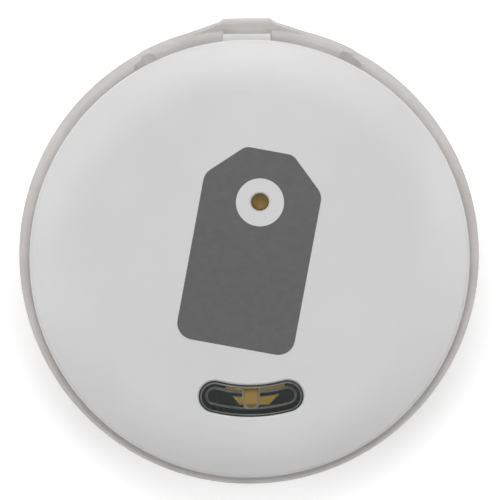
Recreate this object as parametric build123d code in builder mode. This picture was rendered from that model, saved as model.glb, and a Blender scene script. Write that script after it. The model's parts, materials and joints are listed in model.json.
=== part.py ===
"""Coin-size Bluetooth tracker tag, built as the assembly it is.

A domed white front cap presses down as one large button, and carries the piezo sounder and the clear
light window. A frosted outer ring with a lanyard bar holds a white inner frame, which holds the circuit
board and the coin cell. The back cover locks into the frame with three bayonet lugs.

Frame: millimetres, +Z out of the front face, +Y towards the lanyard bar, origin on the tag's axis in the
flat outside of the back cover, so that the tag lies on its back on Z = 0.
"""

import os
from math import cos, radians, sin

from build123d import *

# ---- Driving dimensions ------------------------------------------------------------------------------

TAG_R = 13.0  # outer ring at its widest
TAG_T = 5.6  # back to crown

# Front cap
CAP_R = 12.38
CAP_RIM_BOTTOM_Z = 4.48
CAP_CEILING_Z = 4.95
SKIRT_OUT_R = 11.05
SKIRT_IN_R = 10.55
SKIRT_BOTTOM_Z = 3.65
CROWN_R = 9.6  # where the nearly flat crown turns into the shoulder
CROWN_Z = 5.50
SHOULDER_R = 12.2
SHOULDER_Z = 4.86
RIM_TOP_Z = 4.60
PRESS_TRAVEL = 0.20

# Outer ring
RING_IN_R = 11.62
RING_FOOT_R = 12.4
RING_FOOT_Z = 0.15
RING_LAND_R = 12.62
RING_LAND_Z = CAP_RIM_BOTTOM_Z - PRESS_TRAVEL - 0.04
RING_WIDEST_Z = 2.30

# Inner frame
FRAME_R = RING_IN_R
FRAME_TOP_Z = 4.10
FRAME_BOTTOM_Z = 0.65
BAY_R = 10.85  # bore that takes the back cover's plug
LEDGE_R = 10.35
LEDGE_Z = 2.25
BOARD_POCKET_R = 11.10

# Circuit board and coin cell
BOARD_R = 11.0
BOARD_Z = 2.65
BOARD_T = 0.60
BOARD_TOP = BOARD_Z + BOARD_T
CELL_R = 10.0
CELL_Z = 0.75
CELL_T = 1.60
CELL_TOP = CELL_Z + CELL_T

# Back cover
COVER_R = 11.50
COVER_T = 0.55
PLUG_OUT_R = 10.75
PLUG_IN_R = 10.20
PLUG_TOP_Z = 1.50
LUG_R = 11.10
LUG_Z = 1.08
LUG_TOP_Z = 1.42
LUG_HALF_SPAN = 11.0
UNLOCK_TURN = 22.0
LUG_ANGLES = (30, 150, 270)

# Lanyard bar and slot, at +Y
BAR_HALF = 1.5
BAR_OUT_Y = 13.36
BAR_IN_Y = 12.62
BAR_WEDGE_X, BAR_WEDGE_Y = 5.2, 11.85
BAR_ROOT_R = 12.70
BAR_Z = 0.60
BAR_TOP_Z = 3.50
SLOT_HALF = 1.35
SADDLE_HALF_SPAN = 27.5
SADDLE_R = 13.05
SADDLE_LAND_R = 12.80
SCALLOP_R = 0.90
SCALLOP_Z = RING_LAND_Z + 0.58

# Snap hooks that hold the front cap down in the frame
HOOK_ANGLES = (62.5, 117.5, 242.5, 297.5)
HOOK_R = 11.42
HOOK_TOP_Z = 3.88
HOOK_HALF_SPAN = 4.0
WINDOW_Z = 3.34
WINDOW_TOP_Z = 3.92
WINDOW_HALF_SPAN = 4.8

# Light window: an arc-shaped slot round the tag's axis, at -Y
LIGHT_R = 7.93
LIGHT_W = 1.81
LIGHT_HALF_SPAN = 15.0
LIGHT_SEAL_W = 0.10  # dark seal between the cap and the light window
LIGHT_SEAL_BOTTOM_Z = 5.22
LIGHT_BEVEL = 0.07
GROOVE_W = 1.06
GROOVE_DEPTH = 0.25
GROOVE_SLOPE = 30.0  # degrees from upright
POST_W = 1.00
POST_DRAFT = 8.0

# Sounder
SOUND_X, SOUND_Y = 0.6, 3.3
SOUND_HOLE_R = 0.51
SOUNDER_SEAT_Z = CAP_CEILING_Z - 0.30
PIEZO_R = 6.75
CERAMIC_R = 4.6
SILVER_R = 4.2
GLUE_T = 0.05
GLUE_W = 0.45
BRASS_T = 0.10
CERAMIC_T = 0.12
SILVER_T = 0.03

# Switch and status LED, on the board
SWITCH_Y = -5.2
LED_Y = -7.86

SMALL = 0.03  # a fitted gap between neighbours
PRINT_T = 0.05


# ---- Shared helpers ----------------------------------------------------------------------------------


def radial_plane(angle):
    """The half plane through the Z axis at this angle: local x is the radius, local y is Z."""
    a = radians(angle)
    return Plane((0, 0, 0), x_dir=(cos(a), sin(a), 0), z_dir=(sin(a), -cos(a), 0))


def polar(radius, angle):
    """A point on a circle round the tag's axis."""
    return (radius * cos(radians(angle)), radius * sin(radians(angle)))


def sector(r_in, r_out, centre, half_span):
    """Adds an annular sector round the tag's axis to the sketch being built."""
    with BuildLine() as outline:
        inner = CenterArc((0, 0), r_in, centre - half_span, 2 * half_span)
        outer = CenterArc((0, 0), r_out, centre - half_span, 2 * half_span)
        Line(inner @ 0, outer @ 0)
        Line(inner @ 1, outer @ 1)
    make_face(outline.edges())


def sector_block(r_in, r_out, centre, half_span, z0, z1, mode=Mode.ADD):
    """Adds or cuts a block with the plan of an annular sector, between two heights."""
    with BuildSketch(Plane.XY.offset(z0)) as plan:
        sector(r_in, r_out, centre, half_span)
    extrude(plan.sketch, amount=z1 - z0, mode=mode)


def ring_block(r_in, r_out, z0, z1, mode=Mode.ADD):
    """Adds or cuts a plain ring between two heights."""
    with BuildSketch(Plane.XY.offset(z0)) as plan:
        Circle(r_out)
        Circle(r_in, mode=Mode.SUBTRACT)
    extrude(plan.sketch, amount=z1 - z0, mode=mode)


def disc_block(radius, z0, z1, centre=(0, 0), mode=Mode.ADD):
    """Adds or cuts a plain disc between two heights."""
    with BuildSketch(Plane.XY.offset(z0)) as plan:
        with Locations(centre):
            Circle(radius)
    extrude(plan.sketch, amount=z1 - z0, mode=mode)


def plan_block(width, length, z0, z1, centre=(0, 0), turn=0, corner=0, mode=Mode.ADD):
    """Adds or cuts a block with a rectangular plan, turned about its own centre, between two heights."""
    with BuildSketch(Plane.XY.offset(z0)) as plan:
        with Locations(Location((*centre, 0), (0, 0, turn))):
            if corner:
                RectangleRounded(width, length, corner)
            else:
                Rectangle(width, length)
    extrude(plan.sketch, amount=z1 - z0, mode=mode)


def light_slot(width, mode=Mode.ADD):
    """Adds or cuts the arc-shaped slot of the light window in the sketch being built."""
    with BuildLine(mode=Mode.PRIVATE) as path:
        CenterArc((0, 0), LIGHT_R, 270 - LIGHT_HALF_SPAN, 2 * LIGHT_HALF_SPAN)
    SlotArc(path.wire(), width, mode=mode)


def is_opening_edge(edge):
    """True for an edge round the top of the sound hole or of the light window's slot."""
    at = edge @ 0.5
    from_hole = Vector(at.X - SOUND_X, at.Y - SOUND_Y).length
    from_slot = abs(Vector(at.X, at.Y).length - LIGHT_R)
    at_slot = from_slot < LIGHT_W / 2 + 0.02 and at.Y < 0 and abs(at.X) < LIGHT_R / 2
    return at.Z > CAP_CEILING_Z + 0.1 and (abs(from_hole - SOUND_HOLE_R) < 0.02 or at_slot)


def emblem_outline():
    """Adds the printed luggage-tag pictogram, whose eyelet is the sound hole, to the sketch being built."""
    tilt = -11
    half_width, neck_half, top, shoulder, bottom = 3.35, 1.35, 2.95, 1.05, -8.3
    with BuildSketch(mode=Mode.PRIVATE) as outline:
        with BuildLine():
            Polyline(
                (neck_half, top),
                (half_width, shoulder),
                (half_width, bottom),
                (-half_width, bottom),
                (-half_width, shoulder),
                (-neck_half, top),
                close=True,
            )
        make_face()
        fillet(outline.vertices().group_by(Axis.Y)[0], 0.95)
        fillet(outline.vertices().group_by(Axis.Y)[-1], 0.7)
        fillet(outline.vertices().filter_by(lambda v: abs(v.Y - shoulder) < 0.01), 0.9)
        Circle(1.35, mode=Mode.SUBTRACT)
    with Locations(Location((SOUND_X, SOUND_Y, 0), (0, 0, tilt))):
        add(outline.sketch)


def dome_line(drop=0.0):
    """Adds the front cap's outside profile to the line being built, moved down by drop."""
    crown = TangentArc((0, TAG_T - drop), (CROWN_R, CROWN_Z - drop), tangent=(1, 0))
    shoulder = TangentArc(crown @ 1, (SHOULDER_R, SHOULDER_Z - drop), tangent=crown % 1)
    return crown, shoulder


# ---- Outer ring and inner frame ----------------------------------------------------------------------


def make_lanyard_bar():
    """The bar's solid: a wedge in plan, with a flat front, that swells out of the ring's belly."""
    reach, neck_y = BAR_OUT_Y + 0.1, 13.12
    with BuildPart() as bar:
        with BuildSketch(Plane.XZ) as profile:
            with BuildLine():
                swell = TangentArc((reach, 1.9), (BAR_ROOT_R, BAR_Z), tangent=(0, -1))
                Polyline(
                    swell @ 1, (RING_IN_R + 0.4, BAR_Z), (RING_IN_R + 0.4, BAR_TOP_Z),
                    (reach, BAR_TOP_Z), swell @ 0,
                )
            make_face()
            fillet(profile.vertices().group_by(Axis.Y)[-1].sort_by(Axis.X)[-1], 0.28)
        revolve(axis=Axis.Z, revolution_arc=180)
        with BuildSketch() as plan:
            with BuildLine():
                right = [(BAR_WEDGE_X, BAR_WEDGE_Y), (BAR_HALF + 0.1, neck_y), (BAR_HALF - 0.2, BAR_OUT_Y)]
                Polyline(*right, *[(-x, y) for x, y in reversed(right)], close=True)
            make_face()
            fillet(plan.vertices().group_by(Axis.Y)[-1], 0.12)
            fillet(plan.vertices().filter_by(lambda v: abs(v.Y - neck_y) < 0.001), 0.4)
        extrude(amount=TAG_T, mode=Mode.INTERSECT)
    return bar.part


def make_outer_ring(bar):
    """Frosted ring with the lanyard bar, the saddle either side of it, and a scallop at its ends."""
    with BuildPart() as ring:
        with BuildSketch(Plane.XZ) as profile:
            with BuildLine():
                belly = TangentArc(
                    (TAG_R, RING_WIDEST_Z), (RING_LAND_R, RING_LAND_Z), tangent=(0, 1)
                )
                foot = TangentArc(
                    (TAG_R, RING_WIDEST_Z), (RING_FOOT_R, RING_FOOT_Z), tangent=(0, -1)
                )
                Polyline(belly @ 1, (RING_IN_R, RING_LAND_Z), (RING_IN_R, RING_FOOT_Z), foot @ 1)
            make_face()
            fillet(profile.vertices().group_by(Axis.Y)[-1].sort_by(Axis.X)[-1], 0.28)
            fillet(profile.vertices().group_by(Axis.Y)[0].sort_by(Axis.X)[-1], 0.25)
        revolve(axis=Axis.Z)

        # The saddle: a fuller shoulder on the upper half of the ring, where the lanyard pulls.
        with BuildSketch(radial_plane(90 - SADDLE_HALF_SPAN)) as saddle:
            with BuildLine():
                shoulder = TangentArc(
                    (SADDLE_R, RING_WIDEST_Z), (SADDLE_LAND_R, RING_LAND_Z), tangent=(0, 1)
                )
                Polyline(
                    shoulder @ 1,
                    (RING_IN_R + 0.2, RING_LAND_Z),
                    (RING_IN_R + 0.2, RING_WIDEST_Z - 0.9),
                    (TAG_R - 0.2, RING_WIDEST_Z - 0.9),
                    shoulder @ 0,
                )
            make_face()
            fillet(saddle.vertices().group_by(Axis.Y)[-1].sort_by(Axis.X)[-1], 0.22)
        revolve(axis=Axis.Z, revolution_arc=2 * SADDLE_HALF_SPAN)

        add(bar)

        # Slot for the cord behind the bar, and the gaps over and under the bar that let the cord out.
        slot_y0 = RING_IN_R - 0.5
        plan_block(
            2 * SLOT_HALF, BAR_IN_Y - slot_y0, 0, TAG_T,
            centre=(0, (BAR_IN_Y + slot_y0) / 2), mode=Mode.SUBTRACT,
        )
        for z0, z1 in ((0, BAR_Z), (BAR_TOP_Z, TAG_T)):
            plan_block(
                2 * SLOT_HALF, 2, z0, z1, centre=(0, BAR_IN_Y - SMALL + 1), mode=Mode.SUBTRACT
            )
        # Scallops for a thumbnail at both ends of the saddle.
        for angle in (90 - SADDLE_HALF_SPAN, 90 + SADDLE_HALF_SPAN):
            with BuildSketch(Plane((0, 0, SCALLOP_Z), z_dir=(*polar(1, angle), 0))):
                Circle(SCALLOP_R)
            extrude(amount=TAG_R + 1, mode=Mode.SUBTRACT)
        # Marks on the underside: a filled dot where the cover is locked, a bar where it is free.
        disc_block(0.22, 0, RING_FOOT_Z + 0.12, centre=polar(12.03, 270), mode=Mode.SUBTRACT)
        sector_block(
            11.9, 12.16, 270 - UNLOCK_TURN, 2.2, 0, RING_FOOT_Z + 0.12, mode=Mode.SUBTRACT
        )
    return ring.part


def make_inner_frame():
    """White frame: board pocket above, ledge in the middle, battery bay with bayonet grooves below."""
    with BuildPart() as frame:
        with BuildSketch(Plane.XZ):
            with BuildLine():
                Polyline(
                    (BAY_R, FRAME_BOTTOM_Z),
                    (FRAME_R, FRAME_BOTTOM_Z),
                    (FRAME_R, FRAME_TOP_Z),
                    (BOARD_POCKET_R, FRAME_TOP_Z),
                    (BOARD_POCKET_R, BOARD_Z),
                    (LEDGE_R, BOARD_Z),
                    (LEDGE_R, LEDGE_Z),
                    (BAY_R, LEDGE_Z - 0.3),
                    close=True,
                )
            make_face()
        revolve(axis=Axis.Z)
        for angle in LUG_ANGLES:
            unlocked = angle - UNLOCK_TURN
            spare = 0.8
            sector_block(
                BAY_R - 0.3, LUG_R + 0.12, (angle + unlocked) / 2,
                UNLOCK_TURN / 2 + LUG_HALF_SPAN + spare,
                LUG_Z - 0.05, LUG_TOP_Z + 0.06, mode=Mode.SUBTRACT,
            )
            sector_block(
                BAY_R - 0.3, LUG_R + 0.12, unlocked, LUG_HALF_SPAN + spare,
                0, LUG_TOP_Z + 0.06, mode=Mode.SUBTRACT,
            )
            # Nibs that hold the board down on the ledge.
            sector_block(
                BOARD_POCKET_R - 0.32, BOARD_POCKET_R + 0.1, angle, 3.0,
                BOARD_TOP + 0.01, BOARD_TOP + 0.11,
            )
        for angle in HOOK_ANGLES:
            sector_block(
                BOARD_POCKET_R - 0.3, FRAME_R + 0.3, angle, WINDOW_HALF_SPAN,
                WINDOW_Z, WINDOW_TOP_Z, mode=Mode.SUBTRACT,
            )
        # Keys that stop the board turning.
        for angle in (0, 180):
            sector_block(
                BOARD_POCKET_R - 0.4, BOARD_POCKET_R + 0.1, angle, 2.5, BOARD_Z, BOARD_TOP + 0.05
            )
        # Flat at the lanyard slot, so that the cord has room behind the bar.
        plan_block(
            2 * SLOT_HALF + 0.6, 2, 0, TAG_T,
            centre=(0, FRAME_R - 0.12 + 1), mode=Mode.SUBTRACT,
        )
    return frame.part


# ---- Front cap and what it carries -------------------------------------------------------------------


def make_emblem():
    """The printed pictogram: a skin-thin inlay that follows the crown."""
    with BuildPart() as emblem:
        with BuildSketch(Plane.XZ):
            with BuildLine():
                top = TangentArc((0, TAG_T), (CROWN_R, CROWN_Z), tangent=(1, 0))
                low = TangentArc(
                    (0, TAG_T - PRINT_T), (CROWN_R, CROWN_Z - PRINT_T), tangent=(1, 0)
                )
                Line(top @ 0, low @ 0)
                Line(top @ 1, low @ 1)
            make_face()
        revolve(axis=Axis.Z)
        with BuildSketch(Plane.XY.offset(CAP_CEILING_Z)):
            emblem_outline()
        extrude(amount=1.5, mode=Mode.INTERSECT)
    return emblem.part


def make_front_cap(emblem):
    """Domed white cap: skirt, snap hooks, sounder seat, button boss, sound hole and light window slot."""
    with BuildPart() as cap:
        with BuildSketch(Plane.XZ):
            with BuildLine():
                crown, shoulder = dome_line()
                edge = TangentArc(shoulder @ 1, (CAP_R, RIM_TOP_Z), tangent=shoulder % 1)
                Polyline(
                    edge @ 1,
                    (CAP_R, CAP_RIM_BOTTOM_Z + 0.04),
                    (CAP_R - 0.08, CAP_RIM_BOTTOM_Z),
                    (SKIRT_OUT_R, CAP_RIM_BOTTOM_Z),
                    (SKIRT_OUT_R, SKIRT_BOTTOM_Z + 0.08),
                    (SKIRT_OUT_R - 0.08, SKIRT_BOTTOM_Z),
                    (SKIRT_IN_R, SKIRT_BOTTOM_Z),
                    (SKIRT_IN_R, CAP_CEILING_Z - 0.3),
                    (SKIRT_IN_R - 0.3, CAP_CEILING_Z),
                    (0, CAP_CEILING_Z),
                    crown @ 0,
                )
            make_face()
        revolve(axis=Axis.Z)

        # Seat for the sounder, a ring hanging from the ceiling round the sound hole.
        with BuildSketch(Plane.XY.offset(SOUNDER_SEAT_Z)):
            with Locations((SOUND_X, SOUND_Y)):
                Circle(PIEZO_R + 0.22)
                Circle(PIEZO_R - GLUE_W, mode=Mode.SUBTRACT)
        extrude(amount=0.32)

        # Boss that presses the switch, with four ribs spreading its load.
        boss_bottom, rib_bottom, boss_top = 4.12, 4.5, CAP_CEILING_Z + 0.05
        disc_block(0.62, boss_bottom, boss_top, centre=(0, SWITCH_Y))
        for turn in (45, 135):
            plan_block(2.6, 0.3, rib_bottom, boss_top, centre=(0, SWITCH_Y), turn=turn)

        # Snap hooks, each on its own tongue of the skirt.
        for angle in HOOK_ANGLES:
            with BuildSketch(radial_plane(angle - HOOK_HALF_SPAN)):
                with BuildLine():
                    Polyline(
                        (SKIRT_OUT_R - 0.2, SKIRT_BOTTOM_Z),
                        (SKIRT_OUT_R + 0.04, SKIRT_BOTTOM_Z),
                        (HOOK_R, HOOK_TOP_Z - 0.08),
                        (HOOK_R, HOOK_TOP_Z),
                        (SKIRT_OUT_R - 0.2, HOOK_TOP_Z),
                        close=True,
                    )
                make_face()
            revolve(axis=Axis.Z, revolution_arc=2 * HOOK_HALF_SPAN)
            for side in (-1, 1):
                sector_block(
                    SKIRT_IN_R - 0.2, SKIRT_OUT_R + 0.1, angle + side * (HOOK_HALF_SPAN + 1.1), 0.6,
                    SKIRT_BOTTOM_Z - 0.1, 4.35, mode=Mode.SUBTRACT,
                )

        # Sound hole, light window slot and the emblem's pocket.
        disc_block(SOUND_HOLE_R, 4, TAG_T + 1, centre=(SOUND_X, SOUND_Y), mode=Mode.SUBTRACT)
        with BuildSketch(Plane.XY.offset(4)):
            light_slot(LIGHT_W)
        extrude(amount=2, mode=Mode.SUBTRACT)
        add(emblem, mode=Mode.SUBTRACT)
        # Break the sharp edges of the hole and the slot, where they meet the crown.
        opening_edges = cap.edges().filter_by(is_opening_edge)
        chamfer(opening_edges, 0.09)
    return cap.part


def make_light_window():
    """Clear light guide: a plug filling the slot up to the dome, a glued flange, and a post over the LED."""
    under_dome_z = CAP_CEILING_Z - 0.20
    flange_z = CAP_CEILING_Z - 0.30
    post_z = 4.27
    with BuildPart() as window:
        with BuildSketch(Plane.XZ):
            with BuildLine():
                crown, shoulder = dome_line(drop=0.02)
                Polyline(shoulder @ 1, (SHOULDER_R, under_dome_z), (0, under_dome_z), crown @ 0)
            make_face()
        revolve(axis=Axis.Z)
        with BuildSketch(Plane.XY.offset(4)):
            light_slot(LIGHT_W - 2 * LIGHT_SEAL_W)
        extrude(amount=2, mode=Mode.INTERSECT)
        top_edges = window.edges().filter_by(lambda e: e.center().Z > CAP_CEILING_Z + 0.2)
        chamfer(top_edges, LIGHT_BEVEL)
        with BuildSketch(Plane.XY.offset(flange_z)):
            light_slot(2.5)
        extrude(amount=CAP_CEILING_Z - flange_z)
        # The groove underneath turns light along the arc. Its sloping sides show as an inner outline.
        with BuildSketch(Plane.XY.offset(flange_z)):
            light_slot(GROOVE_W)
        extrude(amount=GROOVE_DEPTH, taper=GROOVE_SLOPE, mode=Mode.SUBTRACT)
        # The post over the LED, square at the inside end and round at the outside end, with drafted sides.
        with BuildSketch(Plane.XY.offset(CAP_CEILING_Z + 0.02)):
            with Locations((0, LED_Y + 0.26)):
                Rectangle(POST_W, 0.76)
            with Locations((0, LED_Y - 0.12)):
                Circle(POST_W / 2)
        extrude(amount=post_z - CAP_CEILING_Z - 0.02, taper=POST_DRAFT)
    return window.part


def make_window_seal():
    """Dark elastomer seal that fills the top of the slot round the light window, a little below the dome."""
    with BuildPart() as seal:
        with BuildSketch(Plane.XZ):
            with BuildLine():
                crown, shoulder = dome_line(drop=0.10)
                Polyline(
                    shoulder @ 1,
                    (SHOULDER_R, CAP_RIM_BOTTOM_Z),
                    (0, CAP_RIM_BOTTOM_Z),
                    crown @ 0,
                )
            make_face()
        revolve(axis=Axis.Z)
        with BuildSketch(Plane.XY.offset(LIGHT_SEAL_BOTTOM_Z)):
            light_slot(LIGHT_W)
            light_slot(LIGHT_W - 2 * LIGHT_SEAL_W, mode=Mode.SUBTRACT)
        extrude(amount=1, mode=Mode.INTERSECT)
    return seal.part


def make_sounder():
    """The piezo sounder's pieces: adhesive ring, brass plate, ceramic disc and silver electrode."""
    centre = (SOUND_X, SOUND_Y)
    glue_z = SOUNDER_SEAT_Z - GLUE_T
    brass_z = glue_z - BRASS_T
    ceramic_z = brass_z - CERAMIC_T
    with BuildPart() as adhesive:
        with BuildSketch(Plane.XY.offset(glue_z)):
            with Locations(centre):
                Circle(PIEZO_R)
                Circle(PIEZO_R - GLUE_W, mode=Mode.SUBTRACT)
        extrude(amount=GLUE_T)
    with BuildPart() as brass:
        disc_block(PIEZO_R, brass_z, glue_z, centre=centre)
    with BuildPart() as ceramic:
        disc_block(CERAMIC_R, ceramic_z, brass_z, centre=centre)
    with BuildPart() as silver:
        disc_block(SILVER_R, ceramic_z - SILVER_T, ceramic_z, centre=centre)
    return {
        "piezo_adhesive": adhesive.part,
        "piezo_brass_plate": brass.part,
        "piezo_ceramic_disc": ceramic.part,
        "piezo_electrode": silver.part,
    }


# ---- Circuit board and what is on it -----------------------------------------------------------------


def make_board():
    """Round board with notches for the frame's keys and for the wall behind the lanyard slot."""
    with BuildPart() as board:
        disc_block(BOARD_R, BOARD_Z, BOARD_TOP)
        for angle in (0, 180):
            sector_block(
                BOARD_POCKET_R - 0.46, BOARD_R + 0.3, angle, 2.9, BOARD_Z, BOARD_TOP,
                mode=Mode.SUBTRACT,
            )
        plan_block(6, 2, BOARD_Z, BOARD_TOP, centre=(0, 10.75 + 1), mode=Mode.SUBTRACT)
    return board.part


def make_board_pads():
    """Gold-plated copper: light pads round the LED, test pads, and the chip's thermal pad."""
    with BuildPart() as pads:
        with BuildSketch(Plane.XY.offset(BOARD_TOP)):
            # Under the light window: a curved strip, two tapered wings, and the LED's land joining them.
            sector(7.43, 7.73, 272, 12.8)
            with BuildLine():
                wings = CenterArc((0, 0), 7.92, 270 - 7.4, 19.2)
                Polyline(wings @ 1, (1.02, -8.36), (-0.62, -8.36), wings @ 0)
            make_face()
            with Locations((0, LED_Y)):
                Rectangle(0.82, 1.10)
            for angle in (210, 217, 224, 316, 323, 330):
                with Locations(polar(9.4, angle)):
                    Circle(0.42)
            with Locations((5.2, -7.0), (-5.2, -7.0)):
                RectangleRounded(0.9, 0.6, 0.1)
        extrude(amount=0.04)
    return pads.part


def make_antenna():
    """Inverted-F antenna: a meander along the board's edge with its feed and ground legs."""
    track, pitch_deg, r_low, r_high, start, teeth = 0.26, 3.4, 9.15, 10.35, 24, 7
    with BuildPart() as antenna:
        with BuildSketch(Plane.XY.offset(BOARD_TOP)):
            half = track / 2
            for i in range(2 * teeth + 1):
                angle = start + i * pitch_deg
                with Locations(Location((*polar((r_low + r_high) / 2, angle), 0), (0, 0, angle))):
                    Rectangle(r_high - r_low + track, track)
                if i < 2 * teeth:
                    radius = r_high if i % 2 == 0 else r_low
                    sector(radius - half, radius + half, angle + pitch_deg / 2, pitch_deg / 2)
            # Feed and ground legs run inwards from the first tooth.
            for angle in (start, start - 4):
                with Locations(Location((*polar(8.5, angle), 0), (0, 0, angle))):
                    Rectangle(1.5, track)
            sector(r_low - half, r_low + half, start - 2, 2)
        extrude(amount=0.04)
    return antenna.part


def make_chip():
    """The radio's QFN package with a moulded pin-one dimple."""
    side, height, centre = 5.0, 0.72, (-4.7, -1.2)
    with BuildPart() as chip:
        plan_block(side, side, BOARD_TOP + 0.03, BOARD_TOP + height, centre=centre, corner=0.12)
        top_edges = chip.edges().group_by(Axis.Z)[-1]
        chamfer(top_edges, 0.05)
        with Locations((centre[0] - 1.9, centre[1] + 1.9, BOARD_TOP + height)):
            Hole(0.28, depth=0.06)
    with BuildPart() as leads:
        with BuildSketch(Plane.XY.offset(BOARD_TOP)):
            with Locations(centre):
                with PolarLocations(side / 2 - 0.12, 4):
                    with GridLocations(1, 0.5, 1, 8):
                        Rectangle(0.42, 0.24)
        extrude(amount=0.03)
    return chip.part, leads.part


def box_part(width, length, height, centre, edge=0.05, corner=0.0):
    """One small packaged component with softened top edges."""
    with BuildPart() as body:
        plan_block(width, length, BOARD_TOP, BOARD_TOP + height, centre=centre, corner=corner)
        chamfer(body.edges().group_by(Axis.Z)[-1], edge)
    return body.part


def make_crystals():
    """The radio's 32 MHz crystal and the 32 kHz clock crystal, as metal lids on ceramic bases."""
    sites = (((-4.9, 3.1), 2.0, 1.6), ((-7.9, 3.4), 1.5, 3.2))
    with BuildPart() as bases:
        for centre, width, length in sites:
            plan_block(width, length, BOARD_TOP, BOARD_TOP + 0.3, centre=centre)
    with BuildPart() as lids:
        for centre, width, length in sites:
            plan_block(
                width - 0.2, length - 0.2, BOARD_TOP + 0.3, BOARD_TOP + 0.5, centre=centre, corner=0.12
            )
        chamfer(lids.edges().group_by(Axis.Z)[-1], 0.06)
    return bases.part, lids.part


def make_passives():
    """Chip capacitors and resistors: bodies in one node each, all their tinned ends in another."""
    length, width, end = 1.0, 0.5, 0.22
    capacitors = (
        ((-1.4, 0.9), 90), ((-1.4, -0.5), 90), ((-1.4, -1.9), 90), ((-2.6, 2.4), 0),
        ((-5.6, -4.5), 0), ((-4.0, -4.5), 0), ((4.2, -4.4), 0), ((6.6, 0.8), 90), ((6.6, 2.3), 90),
    )
    resistors = (
        ((0.2, 0.6), 90), ((0.2, -0.9), 90), ((0.2, -2.4), 90), ((2.5, -5.0), 90),
        ((3.4, -5.0), 90), ((-3.0, -6.4), 20), ((3.0, -6.8), -20),
    )

    def bodies(sites, height):
        with BuildPart() as built:
            for centre, turn in sites:
                plan_block(
                    length - 2 * end, width - 0.02, BOARD_TOP + 0.01, BOARD_TOP + height - 0.01,
                    centre=centre, turn=turn,
                )
        return built.part

    with BuildPart() as ends:
        for sites, height in ((capacitors, 0.5), (resistors, 0.35)):
            for (x, y), turn in sites:
                for side in (-1, 1):
                    reach = side * (length - end) / 2
                    a = radians(turn)
                    at = (x + reach * cos(a), y + reach * sin(a))
                    plan_block(end, width, BOARD_TOP, BOARD_TOP + height, centre=at, turn=turn)
    return bodies(capacitors, 0.5), bodies(resistors, 0.35), ends.part


def make_led():
    """Status LED: gold-ended base with a phosphor-filled clear block on it."""
    at = (0, LED_Y)
    with BuildPart() as base:
        plan_block(0.82, 1.3, BOARD_TOP + 0.04, BOARD_TOP + 0.24, centre=at)
    with BuildPart() as lens:
        plan_block(0.78, 0.86, BOARD_TOP + 0.24, BOARD_TOP + 0.62, centre=at)
        fillet(lens.edges().group_by(Axis.Z)[-1], 0.08)
    return base.part, lens.part


def make_switch():
    """Tact switch under the boss: moulded base, snap dome, steel cover plate and plunger."""
    at, base_top, cavity_r = (0, SWITCH_Y), BOARD_TOP + 0.50, 0.85
    dome_z, dome_edge_r, dome_rise, sheet = BOARD_TOP + 0.10, 0.78, 0.28, 0.05
    with BuildPart() as base:
        plan_block(3.0, 2.0, BOARD_TOP, base_top, centre=at)
        chamfer(base.edges().filter_by(Axis.Z), 0.15)
        disc_block(cavity_r, BOARD_TOP + 0.10, base_top + 0.1, centre=at, mode=Mode.SUBTRACT)
    with BuildPart() as dome:
        with BuildSketch(Plane.XZ.offset(-at[1])):
            with BuildLine():
                top = TangentArc((0, dome_z + dome_rise), (dome_edge_r, dome_z), tangent=(1, 0))
                low = TangentArc(
                    (0, dome_z + dome_rise - sheet), (dome_edge_r - sheet, dome_z), tangent=(1, 0)
                )
                Line(top @ 0, low @ 0)
                Line(top @ 1, low @ 1)
            make_face()
        revolve(axis=Axis((at[0], at[1], 0), (0, 0, 1)))
    plate_t, stem_r = 0.08, 0.5
    with BuildPart() as plate:
        plan_block(2.9, 1.9, base_top + SMALL, base_top + SMALL + plate_t, centre=at)
        disc_block(stem_r + 0.05, base_top, base_top + 0.3, centre=at, mode=Mode.SUBTRACT)
        for side in (-1, 1):
            plan_block(
                0.08, 1.0, BOARD_TOP + 0.05, base_top + SMALL + plate_t,
                centre=(at[0] + side * (1.5 + 0.05 + 0.01), at[1]),
            )
            plan_block(
                0.16, 1.0, base_top + SMALL, base_top + SMALL + plate_t,
                centre=(at[0] + side * 1.5, at[1]),
            )
    with BuildPart() as plunger:
        disc_block(0.72, base_top - 0.09, base_top, centre=at)
        disc_block(stem_r, base_top - 0.09, BOARD_TOP + 0.85, centre=at)
        fillet(plunger.edges().group_by(Axis.Z)[-1], 0.08)
    return {
        "switch_base": base.part,
        "switch_snap_dome": dome.part,
        "switch_cover_plate": plate.part,
        "switch_plunger": plunger.part,
    }


def make_spring_strip(foot_x, tip_x, tip_z, y, width=0.8, gauge=0.1):
    """One sheet-metal contact in the X-Z plane: a flat foot, a rising leaf and a rounded tip."""
    toward = 1 if tip_x > foot_x else -1
    with BuildPart() as strip:
        with BuildSketch(Plane.XZ.offset(-(y + width / 2))):
            with BuildLine() as path:
                FilletPolyline(
                    (foot_x + toward * 0.9, BOARD_TOP + gauge / 2),
                    (foot_x, BOARD_TOP + gauge / 2),
                    (foot_x, BOARD_TOP + 0.42),
                    (tip_x - toward * 0.3, tip_z - gauge / 2),
                    (tip_x + toward * 0.3, tip_z - 0.22),
                    radius=0.09,
                )
            trace(path.line, line_width=gauge)
        extrude(amount=width)
    return strip.part


def make_sounder_springs():
    """Two spring contacts: one reaches the brass plate's rim, the other the ceramic's electrode."""
    brass_z = SOUNDER_SEAT_Z - GLUE_T - BRASS_T
    electrode_z = brass_z - CERAMIC_T - SILVER_T
    return (
        make_spring_strip(foot_x=1.2, tip_x=-1.5, tip_z=brass_z - 0.01, y=8.3),
        make_spring_strip(foot_x=4.6, tip_x=2.2, tip_z=electrode_z - 0.01, y=3.3),
    )


# ---- Battery and its contacts ------------------------------------------------------------------------


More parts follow.
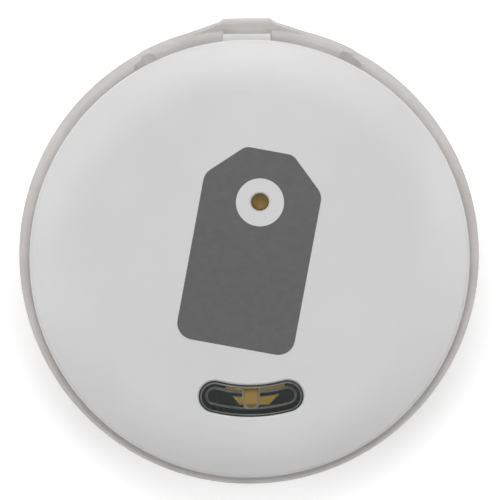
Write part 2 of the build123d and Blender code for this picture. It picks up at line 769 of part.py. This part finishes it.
def make_cell():
    """Coin cell, 20 mm by 1.6 mm: steel can, insulating gasket, steel cap and the pellet inside."""
    wall, cap_r, cap_t = 0.22, 8.6, 0.22
    rim_z = CELL_TOP - 0.12
    with BuildPart() as can:
        with BuildSketch(Plane.XZ) as profile:
            with BuildLine():
                Polyline(
                    (0, CELL_Z),
                    (CELL_R, CELL_Z),
                    (CELL_R, rim_z - 0.25),
                    (CELL_R - 0.55, rim_z),
                    (CELL_R - 0.85, rim_z),
                    (CELL_R - 0.85, rim_z - 0.12),
                    (CELL_R - wall, rim_z - 0.4),
                    (CELL_R - wall, CELL_Z + wall),
                    (0, CELL_Z + wall),
                    close=True,
                )
            make_face()
            corner = profile.vertices().filter_by(lambda v: v.X > CELL_R - 0.01)
            fillet(corner.sort_by(Axis.Y)[0], 0.2)
        revolve(axis=Axis.Z)
    with BuildPart() as cap:
        disc_block(cap_r, CELL_TOP - cap_t, CELL_TOP)
        fillet(cap.edges().group_by(Axis.Z)[-1], 0.12)
    with BuildPart() as gasket:
        ring_block(cap_r, CELL_R - 0.85, CELL_TOP - 0.34, CELL_TOP - 0.14)
    with BuildPart() as pellet:
        disc_block(CELL_R - wall - 0.25, CELL_Z + wall, CELL_TOP - 0.42)
        disc_block(cap_r - 0.1, CELL_TOP - 0.42, CELL_TOP - cap_t)
    return {
        "cell_can": can.part,
        "cell_cap": cap.part,
        "cell_gasket": gasket.part,
        "cell_pellet": pellet.part,
    }


def make_negative_contact():
    """Three-fingered leaf soldered under the board, touching the cell's cap."""
    gauge, gap = 0.12, BOARD_Z - CELL_TOP
    with BuildPart() as leaf:
        disc_block(1.6, BOARD_Z - gauge, BOARD_Z)
        for angle in (90, 210, 330):
            with BuildSketch(radial_plane(angle).offset(-0.6)):
                with BuildLine():
                    Polyline(
                        (1.2, BOARD_Z - gauge),
                        (2.2, BOARD_Z - gauge),
                        (5.0, BOARD_Z - gap),
                        (5.6, BOARD_Z - gap + 0.06),
                        (5.6, BOARD_Z - gap + 0.06 + gauge),
                        (5.0, BOARD_Z - gap + gauge),
                        (2.2, BOARD_Z),
                        (1.2, BOARD_Z),
                        close=True,
                    )
                make_face()
            extrude(amount=1.2)
    return leaf.part


def make_positive_contacts():
    """Two clips that hang from the board and press on the side of the can."""
    gauge, foot_r, inner_r, bottom = 0.12, 8.95, CELL_R + 0.02, 1.62
    with BuildPart() as clips:
        for angle in (205, 335):
            half = 7.5
            sector_block(foot_r, inner_r + gauge, angle, half, BOARD_Z - gauge, BOARD_Z)
            sector_block(inner_r, inner_r + gauge, angle, half, bottom, BOARD_Z)
    return clips.part


# ---- Back cover --------------------------------------------------------------------------------------


def make_back_cover():
    """Twist-off cover: flat outside with two grip pads, a plug ring with bayonet lugs, and an arrow mark."""
    with BuildPart() as cover:
        disc_block(COVER_R, 0, COVER_T)
        fillet(cover.edges().group_by(Axis.Z)[0], 0.3)
        ring_block(PLUG_IN_R, PLUG_OUT_R, COVER_T, PLUG_TOP_Z)
        chamfer(
            cover.edges().group_by(Axis.Z)[-1].filter_by(lambda e: abs(e.radius - PLUG_OUT_R) < 0.01),
            0.1,
        )
        for angle in LUG_ANGLES:
            sector_block(PLUG_OUT_R - 0.1, LUG_R, angle, LUG_HALF_SPAN, LUG_Z, LUG_TOP_Z)
        # Grip pads: shallow arcs with ribs left standing in them.
        grip_r, grip_w, grip_depth = 8.3, 2.0, 0.22
        for angle in (0, 180):
            with BuildSketch():
                with BuildLine(mode=Mode.PRIVATE) as path:
                    CenterArc((0, 0), grip_r, angle - 24, 48)
                SlotArc(path.wire(), grip_w)
            extrude(amount=grip_depth, mode=Mode.SUBTRACT)
            for step in range(-4, 5):
                sector_block(grip_r - 0.85, grip_r + 0.85, angle + 5.4 * step, 0.9, 0.06, grip_depth)
        # Arrow towards the ring's marks.
        with BuildSketch():
            with BuildLine():
                Polyline((0, -10.7), (0.6, -9.7), (-0.6, -9.7), close=True)
            make_face()
        extrude(amount=0.12, mode=Mode.SUBTRACT)
    return cover.part


def make_cover_seal():
    """Flat rubber washer between the cover's flange and the frame."""
    with BuildPart() as seal:
        ring_block(PLUG_OUT_R + 0.05, FRAME_R - 0.2, COVER_T, FRAME_BOTTOM_Z - SMALL)
    return seal.part


def make_cell_cushion():
    """Foam pad that keeps the cell from rattling."""
    with BuildPart() as cushion:
        disc_block(4.5, COVER_T, CELL_Z - 0.02)
    return cushion.part


# ---- The assembly ------------------------------------------------------------------------------------


def make_parts():
    """Every sub-part by its node name."""
    emblem = make_emblem()
    chip, chip_leads = make_chip()
    crystal_bases, crystal_lids = make_crystals()
    capacitors, resistors, ends = make_passives()
    led_base, led_lens = make_led()
    rim_spring, centre_spring = make_sounder_springs()
    return {
        "outer_ring": make_outer_ring(make_lanyard_bar()),
        "inner_frame": make_inner_frame(),
        "front_cap": make_front_cap(emblem),
        "printed_emblem": emblem,
        "light_window": make_light_window(),
        "window_seal": make_window_seal(),
        **make_sounder(),
        "circuit_board": make_board(),
        "board_gold_pads": make_board_pads(),
        "antenna_track": make_antenna(),
        "radio_chip": chip,
        "radio_chip_leads": chip_leads,
        "crystal_bases": crystal_bases,
        "crystal_lids": crystal_lids,
        "boost_inductor": box_part(2.5, 2.0, 0.75, (4.7, -2.4), edge=0.12, corner=0.3),
        "sounder_driver_chip": box_part(2.0, 2.0, 0.6, (7.2, -1.6)),
        "boost_diode": box_part(1.6, 0.8, 0.55, (4.7, -0.4)),
        "capacitor_bodies": capacitors,
        "resistor_bodies": resistors,
        "component_ends": ends,
        "status_led_base": led_base,
        "status_led_lens": led_lens,
        **make_switch(),
        "sounder_rim_spring": rim_spring,
        "sounder_centre_spring": centre_spring,
        **make_cell(),
        "negative_contact": make_negative_contact(),
        "positive_contacts": make_positive_contacts(),
        "back_cover": make_back_cover(),
        "cover_seal": make_cover_seal(),
        "cell_cushion": make_cell_cushion(),
    }


os.makedirs("parts", exist_ok=True)
for name, part in make_parts().items():
    part.label = name
    export_step(part, f"parts/{name}.step")
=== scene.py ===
"""Looks for the coin-size tracker tag: its materials, its springs, the studio and the camera."""

import json
import math

import bpy
from mathutils import Matrix, Vector


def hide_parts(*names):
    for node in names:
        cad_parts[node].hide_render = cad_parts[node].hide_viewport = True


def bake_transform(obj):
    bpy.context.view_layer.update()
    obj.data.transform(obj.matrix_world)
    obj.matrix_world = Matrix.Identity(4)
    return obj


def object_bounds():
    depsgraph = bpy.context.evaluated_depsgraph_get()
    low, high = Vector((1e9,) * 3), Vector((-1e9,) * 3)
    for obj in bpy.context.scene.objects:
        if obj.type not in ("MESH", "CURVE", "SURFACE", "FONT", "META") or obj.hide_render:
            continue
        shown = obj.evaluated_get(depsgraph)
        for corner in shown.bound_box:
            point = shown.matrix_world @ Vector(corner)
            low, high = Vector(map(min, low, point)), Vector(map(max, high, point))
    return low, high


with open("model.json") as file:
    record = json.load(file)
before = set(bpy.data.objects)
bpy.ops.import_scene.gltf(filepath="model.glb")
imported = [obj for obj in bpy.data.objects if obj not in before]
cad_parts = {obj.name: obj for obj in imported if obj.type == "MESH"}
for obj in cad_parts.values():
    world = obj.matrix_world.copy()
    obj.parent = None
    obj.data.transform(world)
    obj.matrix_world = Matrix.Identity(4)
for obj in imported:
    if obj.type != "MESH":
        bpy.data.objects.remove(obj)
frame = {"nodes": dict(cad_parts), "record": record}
CAD_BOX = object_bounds()

MM = 0.001
CENTRE = (CAD_BOX[0] + CAD_BOX[1]) / 2
SLOTS = {part["node"]: part["material_slot"] for part in frame["record"]["subparts"]}

WHITE = (1, 1, 1, 1)

# The middle stretch of a noise texture's values, which is spread out to run from 0 to 1.
NOISE_LOW, NOISE_HIGH = 0.32, 0.68

# Between each pair one finish fades into the next, and so does a painted shade that greys the less upright
# faces.
STEEP_TO_BEVEL = (0.55, 0.68)
BEVEL_TO_FLAT = (0.90, 0.97)

# How much light the window's steep faces and its bevel let through, against 1 for its flat faces.
STEEP_CLEARNESS, BEVEL_CLEARNESS = 0.45, 0.88

# The floor reaches this far from the tag's axis, in metres, and lies just clear of the tag.
FLOOR_HALF = 0.6
FLOOR_GAP = 0.02 * MM
FLOOR_GLOW = 0.32

# How wide the soft boxes are and how far they stand from the tag, in millimetres.
SOFT_BOX_WIDTH, SOFT_BOX_DISTANCE = 200, 300

# Each soft box: its heading and elevation in degrees, and its watts.
SOFT_BOXES = {
    "key_top": (90, 50, 0.37),
    "side_right": (0, 44, 0.23),
    "side_left": (180, 43, 0.27),
    "fill_right": (325, 35, 0.11),
    "fill_left": (215, 35, 0.10),
    "overhead": (270, 78, 0.020),
}
WORLD_LEVEL = 0.49

# The camera's lean off the tag's axis and its roll, in degrees, then its distance and what it aims at.
CAMERA_TILT, CAMERA_ASIDE, CAMERA_ROLL = 5.8, -0.6, 0.55
CAMERA_DISTANCE = 0.40
CAMERA_AIM = Vector((0.05, 0.29, 2.3)) * MM

# The width that the picture spans at that distance, and the sensor's width in Blender's millimetres.
CAMERA_FIELD = 28.27 * MM
SENSOR_WIDTH = 36.0


# ---- Building procedural materials -------------------------------------------------------------------


class Look:
    """A procedural material under construction. Its textures are sized in millimetres of the part."""

    def __init__(self, name, colour, roughness, **fixed):
        self.material = bpy.data.materials.new(name)
        self.material.use_nodes = True
        self.tree = self.material.node_tree
        self.shader = self.tree.nodes["Principled BSDF"]
        self.coords = self.node("ShaderNodeTexCoord").outputs["Object"]
        self.normal = None
        self.set("Base Color", (*colour, 1))
        self.set("Roughness", roughness)
        for socket, value in fixed.items():
            self.set(SOCKETS[socket], value)

    def set(self, socket, value):
        self.shader.inputs[socket].default_value = value

    def node(self, kind, **settings):
        made = self.tree.nodes.new(kind)
        for name, value in settings.items():
            setattr(made, name, value)
        return made

    def link(self, source, target):
        self.tree.links.new(source, target)

    def place(self, stretch=(1, 1, 1)):
        """Coordinates in millimetres, stretched."""
        mapping = self.node("ShaderNodeMapping")
        mapping.inputs["Scale"].default_value = [s / MM for s in stretch]
        self.link(self.coords, mapping.inputs["Vector"])
        return mapping.outputs["Vector"]

    def noise(self, per_mm, detail=3.0, stretch=(1, 1, 1), distortion=0.0):
        texture = self.node("ShaderNodeTexNoise")
        texture.inputs["Scale"].default_value = per_mm
        texture.inputs["Detail"].default_value = detail
        texture.inputs["Distortion"].default_value = distortion
        self.link(self.place(stretch), texture.inputs["Vector"])
        return self.remap(texture.outputs["Fac"], NOISE_LOW, NOISE_HIGH, 0, 1)

    def cells(self, per_mm, feature="F1"):
        texture = self.node("ShaderNodeTexVoronoi", feature=feature)
        texture.inputs["Scale"].default_value = per_mm
        self.link(self.place(), texture.inputs["Vector"])
        return texture.outputs["Distance"]

    def rings(self, per_mm, distortion=0.6):
        """Rings round the tag's axis, as left by turning, lapping or twisting."""
        texture = self.node("ShaderNodeTexWave", wave_type="RINGS", rings_direction="Z")
        texture.inputs["Scale"].default_value = per_mm
        texture.inputs["Distortion"].default_value = distortion
        texture.inputs["Detail"].default_value = 2
        texture.inputs["Detail Scale"].default_value = 3
        self.link(self.place(), texture.inputs["Vector"])
        return texture.outputs["Fac"]

    def bands(self, per_mm, direction, distortion=0.0):
        texture = self.node("ShaderNodeTexWave", wave_type="BANDS", bands_direction=direction)
        texture.inputs["Scale"].default_value = per_mm
        texture.inputs["Distortion"].default_value = distortion
        self.link(self.place(), texture.inputs["Vector"])
        return texture.outputs["Fac"]

    def remap(self, value, low, high, to_low, to_high):
        made = self.node("ShaderNodeMapRange")
        for socket, number in zip(("From Min", "From Max", "To Min", "To Max"), (low, high, to_low, to_high)):
            made.inputs[socket].default_value = number
        self.link(value, made.inputs["Value"])
        return made.outputs["Result"]

    def combine(self, a, b, operation="MULTIPLY"):
        made = self.node("ShaderNodeMath", operation=operation)
        self.link(a, made.inputs[0])
        self.link(b, made.inputs[1])
        return made.outputs["Value"]

    def blend(self, factor, dark, light):
        """A colour between two others. Each may be a colour or another node's output."""
        made = self.node("ShaderNodeMix", data_type="RGBA")
        self.link(factor, made.inputs["Factor"])
        for socket, colour in ((made.inputs[6], dark), (made.inputs[7], light)):
            if isinstance(colour, tuple):
                socket.default_value = (*colour, 1)
            else:
                self.link(colour, socket)
        return made.outputs[2]

    def tint(self, factor, dark, light):
        self.link(self.blend(factor, dark, light), self.shader.inputs["Base Color"])

    def vary(self, factor, low, high, socket="Roughness"):
        self.link(self.remap(factor, 0, 1, low, high), self.shader.inputs[socket])

    def bump(self, height, depth):
        """Adds relief, with its depth in millimetres."""
        made = self.node("ShaderNodeBump")
        made.inputs["Distance"].default_value = depth * MM
        made.inputs["Strength"].default_value = 1
        self.link(height, made.inputs["Height"])
        if self.normal is not None:
            self.link(self.normal, made.inputs["Normal"])
        self.normal = made.outputs["Normal"]
        self.link(self.normal, self.shader.inputs["Normal"])


SOCKETS = {
    "metallic": "Metallic",
    "ior": "IOR",
    "specular": "Specular IOR Level",
    "transmission": "Transmission Weight",
    "coat": "Coat Weight",
    "coat_roughness": "Coat Roughness",
    "subsurface": "Subsurface Weight",
    "subsurface_scale": "Subsurface Scale",
    "subsurface_radius": "Subsurface Radius",
}


# ---- Plastics ----------------------------------------------------------------------------------------


def moulded(name, dark, light, rough, grain, depth, **fixed):
    """Moulded plastic: faint flow mottling, a satin that varies, and the mould's fine spark texture."""
    look = Look(name, light, rough[0], **fixed)
    flow = look.noise(0.16, detail=4, stretch=(1, 0.7, 1), distortion=0.4)
    look.tint(flow, dark, light)
    look.vary(look.noise(0.45, detail=5), *rough)
    look.bump(look.noise(grain, detail=4), depth)
    look.bump(look.cells(grain * 0.6), depth * 0.6)
    return look


def cap_white():
    look = moulded("cap_white", (0.615, 0.615, 0.620), (0.645, 0.645, 0.650), (0.34, 0.46), 9, 0.0025,
                   subsurface=0.08, subsurface_scale=0.4 * MM, subsurface_radius=(1, 1, 1))
    return look


def frame_white():
    return moulded("frame_white", (0.66, 0.66, 0.65), (0.74, 0.74, 0.73), (0.45, 0.6), 7, 0.004)


def cover_white():
    """The back cover's plastic, with the faint rings that turning it leaves."""
    look = moulded("cover_white", (0.585, 0.585, 0.595), (0.62, 0.62, 0.63), (0.42, 0.56), 6, 0.004)
    scuffs = look.combine(look.rings(2.3, distortion=5), look.noise(0.9, detail=6))
    look.bump(scuffs, 0.002)
    return look


def frosted_ring():
    """Clear plastic with a frosted skin: light goes through it and scatters."""
    look = Look("frosted_ring", (0.68, 0.66, 0.645), 0.5, ior=1.49, transmission=0.40, specular=0.3)
    cloud = look.noise(0.35, detail=4, stretch=(1, 1, 0.5), distortion=0.5)
    look.tint(cloud, (0.62, 0.60, 0.585), (0.72, 0.70, 0.685))
    look.vary(look.noise(1.2, detail=5), 0.42, 0.58)
    look.bump(look.noise(10, detail=4), 0.004)
    look.bump(look.cells(7), 0.002)
    return look


def emblem_grey():
    """Pad-printed ink: a screen of tiny pinholes and a slightly uneven film."""
    look = Look("emblem_grey", (0.108, 0.108, 0.110), 0.45)
    film = look.noise(2.6, detail=6)
    look.tint(film, (0.102, 0.102, 0.104), (0.114, 0.114, 0.116))
    look.vary(look.noise(2.5, detail=4), 0.40, 0.55)
    look.bump(look.noise(13, detail=3), 0.002)
    return look


def window_clear():
    """Clear plastic, polished on its flat faces. Its bevel is lightly frosted, and its steep faces more. Both
    also get a greyer colour, which is painted shade.
    """
    look = Look("window_clear", (0.96, 0.97, 0.97), 0.03, ior=1.49, specular=0.25)
    normal = look.node("ShaderNodeSeparateXYZ")
    look.link(look.node("ShaderNodeNewGeometry").outputs["True Normal"], normal.inputs["Vector"])
    absolute = look.node("ShaderNodeMath", operation="ABSOLUTE")
    look.link(normal.outputs["Z"], absolute.inputs[0])
    upright = absolute.outputs["Value"]
    polish_and_shade_mask = look.remap(upright, *BEVEL_TO_FLAT, 0, 1)
    smears = look.noise(0.8, detail=5)
    # Painted shade: the bevel and steep faces get a greyer base colour than the flat faces.
    look.tint(polish_and_shade_mask, (0.84, 0.85, 0.84), (0.98, 0.98, 0.98))
    clearness = look.remap(upright, *STEEP_TO_BEVEL, STEEP_CLEARNESS, BEVEL_CLEARNESS)
    look.link(look.combine(clearness, polish_and_shade_mask, "MAXIMUM"), look.shader.inputs["Transmission Weight"])
    look.vary(polish_and_shade_mask, 0.5, 0.02)
    look.bump(smears, 0.0008)
    return look


def epoxy_black():
    return moulded("epoxy_black", (0.016, 0.016, 0.017), (0.028, 0.028, 0.030), (0.42, 0.62), 22, 0.003)


def ferrite_grey():
    look = Look("ferrite_grey", (0.09, 0.09, 0.095), 0.6)
    look.tint(look.cells(9), (0.045, 0.045, 0.050), (0.13, 0.13, 0.135))
    look.vary(look.noise(6, detail=4), 0.45, 0.75)
    look.bump(look.cells(12), 0.008)
    return look


def switch_black():
    return moulded("switch_black", (0.014, 0.014, 0.014), (0.026, 0.026, 0.026), (0.35, 0.5), 14, 0.003)


def actuator_cream():
    return moulded("actuator_cream", (0.55, 0.50, 0.38), (0.66, 0.61, 0.48), (0.35, 0.5), 14, 0.003)


def cell_gasket():
    return moulded("cell_gasket", (0.020, 0.024, 0.034), (0.034, 0.040, 0.055), (0.35, 0.5), 10, 0.003)


def rubber(name, colour, grain):
    look = Look(name, colour, 0.7)
    look.tint(look.noise(1.3, detail=5), tuple(0.75 * c for c in colour), tuple(1.2 * c for c in colour))
    look.vary(look.noise(3, detail=4), 0.6, 0.85)
    look.bump(look.noise(grain, detail=4), 0.006)
    return look


def cushion_foam():
    """Closed-cell foam: the skin of its cells shows."""
    look = rubber("cushion_foam", (0.035, 0.035, 0.037), 5)
    look.bump(look.cells(6, feature="SMOOTH_F1"), 0.03)
    return look


# ---- Board and components ----------------------------------------------------------------------------


def board_dark():
    """Very dark green solder mask over glass cloth, whose weave shows through."""
    look = Look("board_dark", (0.006, 0.026, 0.016), 0.22, specular=0.3)
    warp = look.bands(0.9, "X", distortion=0.4)
    weft = look.bands(0.9, "Y", distortion=0.4)
    weave = look.combine(warp, weft)
    cloth = look.blend(weave, (0.003, 0.028, 0.015), (0.008, 0.075, 0.038))
    cloudy = look.noise(0.5, detail=5)
    look.tint(cloudy, (0.004, 0.030, 0.016), cloth)
    look.vary(look.noise(2, detail=3), 0.16, 0.28)
    look.bump(weave, 0.003)
    look.bump(look.noise(4, detail=4), 0.0015)
    return look


def masked_copper():
    look = Look("masked_copper", (0.02, 0.10, 0.055), 0.28, coat=0.5, coat_roughness=0.12)
    look.tint(look.noise(2.2, detail=4), (0.014, 0.075, 0.040), (0.026, 0.125, 0.070))
    look.bump(look.noise(4, detail=4), 0.003)
    return look


def metal(name, dark, light, rough, stretch=(1, 1, 1), per_mm=6.0, depth=0.0015):
    """Metal with a worked surface: tarnish that varies slowly, and marks that run one way if stretched."""
    look = Look(name, light, rough[0], metallic=1.0)
    look.tint(look.noise(0.8, detail=5, distortion=0.6), dark, light)
    marks = look.noise(per_mm, detail=5, stretch=stretch)
    look.vary(marks, *rough)
    look.bump(marks, depth)
    return look


def sounder_brass():
    """Rolled brass with a light, brownish tarnish."""
    look = metal("sounder_brass", (0.40, 0.27, 0.085), (0.56, 0.41, 0.15), (0.34, 0.55), (1, 0.06, 1), 9)
    look.bump(look.noise(1.5, detail=4), 0.004)
    return look


def gold_plate():
    """Gold plating, set only partly metallic."""
    look = metal("gold_plate", (1.0, 0.67, 0.09), (1.0, 0.78, 0.15), (0.30, 0.48), per_mm=14)
    look.set("Metallic", 0.35)
    return look


def tin_plate():
    return metal("tin_plate", (0.46, 0.46, 0.47), (0.62, 0.62, 0.63), (0.34, 0.55), per_mm=18)


def silver_ink():
    return metal("silver_ink", (0.50, 0.50, 0.49), (0.64, 0.64, 0.63), (0.5, 0.7), per_mm=10, depth=0.004)


def nickel_lid():
    return metal("nickel_lid", (0.50, 0.47, 0.41), (0.62, 0.59, 0.53), (0.22, 0.38), (1, 0.1, 1), 12)


def stainless():
    return metal("stainless", (0.46, 0.45, 0.43), (0.58, 0.57, 0.55), (0.24, 0.4), (0.08, 1, 1), 16)


def spring_contact():
    return metal("spring_contact", (0.52, 0.44, 0.28), (0.66, 0.58, 0.40), (0.22, 0.36), (0.1, 1, 1), 12)


def cell_steel():
    """Drawn and nickel-plated steel, with the faint rings of the press tool."""
    look = metal("cell_steel", (0.50, 0.50, 0.49), (0.62, 0.62, 0.61), (0.2, 0.34), per_mm=5)
    look.bump(look.rings(1.6, distortion=1.5), 0.0015)
    return look


def ceramic(name, dark, light, rough, grain=8.0):
    """Fired ceramic: close mottling and a dry, pitted skin."""
    look = Look(name, light, rough[0])
    look.tint(look.noise(2.4, detail=6), dark, light)
    look.vary(look.noise(4, detail=4), *rough)
    look.bump(look.cells(grain), 0.004)
    return look


def sounder_ceramic():
    return ceramic("sounder_ceramic", (0.56, 0.54, 0.47), (0.68, 0.66, 0.59), (0.5, 0.7), 7)


def crystal_ceramic():
    return ceramic("crystal_ceramic", (0.030, 0.026, 0.026), (0.060, 0.054, 0.052), (0.45, 0.65), 14)


def capacitor_ceramic():
    return ceramic("capacitor_ceramic", (0.22, 0.135, 0.065), (0.34, 0.23, 0.125), (0.4, 0.55), 16)


def resistor_glaze():
    return ceramic("resistor_glaze", (0.008, 0.008, 0.009), (0.018, 0.018, 0.020), (0.2, 0.35), 16)


def led_body():
    return ceramic("led_body", (0.60, 0.44, 0.16), (0.76, 0.60, 0.26), (0.3, 0.5), 12)


def led_phosphor():
    """Phosphor grains in clear resin."""
    look = Look("led_phosphor", (1.0, 0.64, 0.09), 0.3, subsurface=0.2, subsurface_scale=0.15 * MM)
    look.tint(look.cells(24), (0.98, 0.54, 0.05), (1.0, 0.72, 0.13))
    look.bump(look.noise(9, detail=3), 0.003)
    return look


def cell_core():
    return ceramic("cell_core", (0.020, 0.020, 0.022), (0.045, 0.045, 0.048), (0.7, 0.9), 6)


LOOKS = {
    "frosted_ring": frosted_ring,
    "frame_white": frame_white,
    "cap_white": cap_white,
    "emblem_grey": emblem_grey,
    "window_clear": window_clear,
    "adhesive_black": lambda: rubber("adhesive_black", (0.020, 0.020, 0.020), 8),
    "sounder_brass": sounder_brass,
    "sounder_ceramic": sounder_ceramic,
    "silver_ink": silver_ink,
    "board_dark": board_dark,
    "gold_plate": gold_plate,
    "masked_copper": masked_copper,
    "epoxy_black": epoxy_black,
    "ferrite_grey": ferrite_grey,
    "tin_plate": tin_plate,
    "crystal_ceramic": crystal_ceramic,
    "nickel_lid": nickel_lid,
    "capacitor_ceramic": capacitor_ceramic,
    "resistor_glaze": resistor_glaze,
    "led_body": led_body,
    "led_phosphor": led_phosphor,
    "switch_black": switch_black,
    "stainless": stainless,
    "actuator_cream": actuator_cream,
    "spring_contact": spring_contact,
    "cell_steel": cell_steel,
    "cell_gasket": cell_gasket,
    "cell_core": cell_core,
    "cover_white": cover_white,
    "seal_rubber": lambda: rubber("seal_rubber", (0.022, 0.022, 0.022), 9),
    "cushion_foam": cushion_foam,
}


def dress_nodes():
    """Gives every CAD node its slot's material."""
    made = {}
    for node, slot in SLOTS.items():
        if slot not in made:
            made[slot] = LOOKS[slot]().material
        materials = frame["nodes"][node].data.materials
        materials.clear()
        materials.append(made[slot])


# ---- Springs -----------------------------------------------------------------------------------------

# Each spring, the body that holds its foot, and the body that presses on its top.
SPRINGS = {
    "switch_snap_dome": ("housing", "switch_actuator"),
    "sounder_rim_spring": ("housing", "front_button"),
    "sounder_centre_spring": ("housing", "front_button"),
}


def flex_springs():
    """Stands a copy in for each spring, in the same place, and hides the spring itself."""
    for node, (foot, top) in SPRINGS.items():
        spring = bpy.data.objects.new(f"{node}_flexing", frame["nodes"][node].data.copy())
        bpy.context.scene.collection.objects.link(spring)
        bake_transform(spring)
        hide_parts(node)


# ---- Studio ------------------------------------------------------------------------------------------


def make_floor():
    mesh = bpy.data.meshes.new("floor")
    corners = [(-1, -1), (1, -1), (1, 1), (-1, 1)]
    height = CAD_BOX[0].z - FLOOR_GAP
    mesh.from_pydata([(x * FLOOR_HALF, y * FLOOR_HALF, height) for x, y in corners], [], [(0, 1, 2, 3)])
    floor = bpy.data.objects.new("floor", mesh)
    bpy.context.scene.collection.objects.link(floor)
    look = Look("floor_paper", (0.90, 0.90, 0.90), 0.8)
    look.tint(look.noise(0.02, detail=3), (0.885, 0.885, 0.885), (0.905, 0.905, 0.905))
    look.set("Emission Color", WHITE)
    look.set("Emission Strength", FLOOR_GLOW)
    mesh.materials.append(look.material)


def make_light(name, heading, elevation, watts):
    """A square soft box aimed at the tag. Its heading is in degrees round from the tag's right."""
    data = bpy.data.lights.new(name, "AREA")
    data.shape = "SQUARE"
    data.size = SOFT_BOX_WIDTH * MM
    data.energy = watts
    light = bpy.data.objects.new(name, data)
    around, up = math.radians(heading), math.radians(elevation)
    outward = Vector((math.cos(up) * math.cos(around), math.cos(up) * math.sin(around), math.sin(up)))
    light.location = CENTRE + outward * SOFT_BOX_DISTANCE * MM
    light.rotation_mode = "QUATERNION"
    light.rotation_quaternion = outward.to_track_quat("Z", "Y")
    bpy.context.scene.collection.objects.link(light)


def make_world(level):
    """Even light from all round that fades away towards the front, which is -Y."""
    world = bpy.data.worlds.new("studio")
    world.use_nodes = True
    tree = world.node_tree
    background = tree.nodes["Background"]
    background.inputs["Color"].default_value = WHITE
    heading = tree.nodes.new("ShaderNodeTexCoord")
    parts = tree.nodes.new("ShaderNodeSeparateXYZ")
    fade = tree.nodes.new("ShaderNodeMapRange")
    for socket, value in (("From Min", -0.5), ("From Max", 0.5), ("To Min", 0.0), ("To Max", level)):
        fade.inputs[socket].default_value = value
    tree.links.new(heading.outputs["Generated"], parts.inputs["Vector"])
    tree.links.new(parts.outputs["Y"], fade.inputs["Value"])
    tree.links.new(fade.outputs["Result"], background.inputs["Strength"])
    bpy.context.scene.world = world


def make_camera():
    """Looks down on the face through a long lens, tilted towards the lanyard side and rolled a little."""
    tilt, aside, roll = (math.radians(a) for a in (CAMERA_TILT, CAMERA_ASIDE, CAMERA_ROLL))
    data = bpy.data.cameras.new("camera")
    data.sensor_width = SENSOR_WIDTH
    data.lens = SENSOR_WIDTH * CAMERA_DISTANCE / CAMERA_FIELD
    data.clip_start, data.clip_end = 0.01, 10
    camera = bpy.data.objects.new("camera", data)
    towards = Vector((math.sin(aside), math.sin(tilt), math.cos(tilt))).normalized()
    across = Vector((0, 1, 0)).cross(towards).normalized()
    upward = towards.cross(across)
    turn = Matrix((across, upward, towards)).transposed().to_4x4()
    place = Matrix.Translation(CAMERA_AIM + towards * CAMERA_DISTANCE)
    camera.matrix_world = place @ turn @ Matrix.Rotation(-roll, 4, "Z")
    bpy.context.scene.collection.objects.link(camera)
    bpy.context.scene.camera = camera


def make_studio():
    make_floor()
    for name, (heading, elevation, watts) in SOFT_BOXES.items():
        make_light(name, heading, elevation, watts)
    make_world(WORLD_LEVEL)
    bpy.context.scene.view_settings.view_transform = "Standard"


dress_nodes()
flex_springs()
make_studio()
make_camera()
